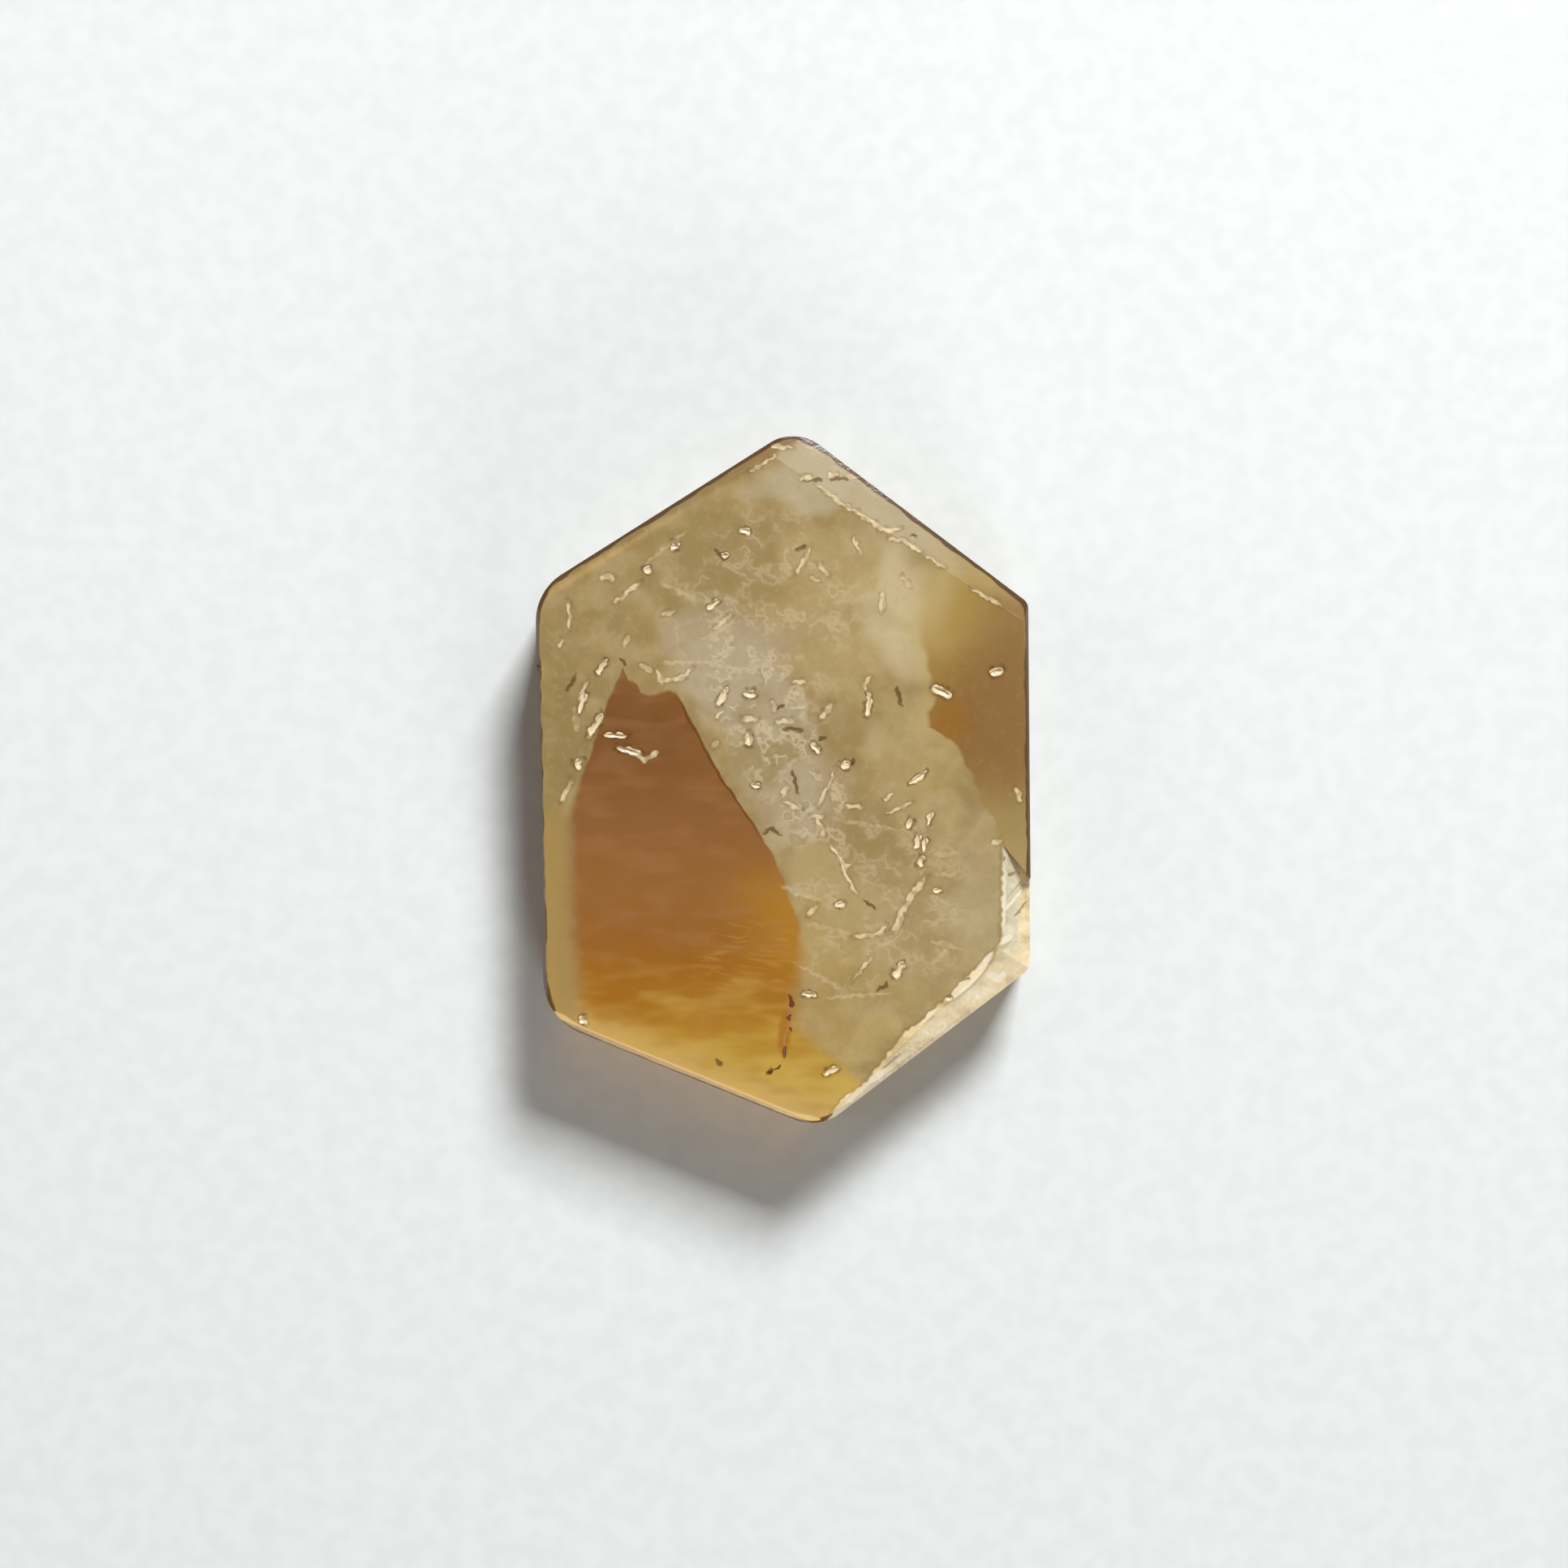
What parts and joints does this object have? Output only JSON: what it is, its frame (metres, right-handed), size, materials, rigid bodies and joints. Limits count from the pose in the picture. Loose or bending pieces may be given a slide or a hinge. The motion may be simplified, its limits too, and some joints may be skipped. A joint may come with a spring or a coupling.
{
  "type": "sapphire slice",
  "caption": "Thin six-sided slice of colour-zoned natural sapphire, flat on both faces, with ground rim facets, pits and a flaked edge.",
  "frame": {"origin": "middle of the back face, which the slice lies on", "axes": "+X across the slice, +Y from the bottom apex to the top apex, +Z out of the front face"},
  "size_m": [0.0104, 0.0145, 0.0022],
  "materials": {
    "sapphire": "polished"
  },
  "bodies": {
    "root": {"sapphire_slice": "sapphire"}
  },
  "joints": []
}
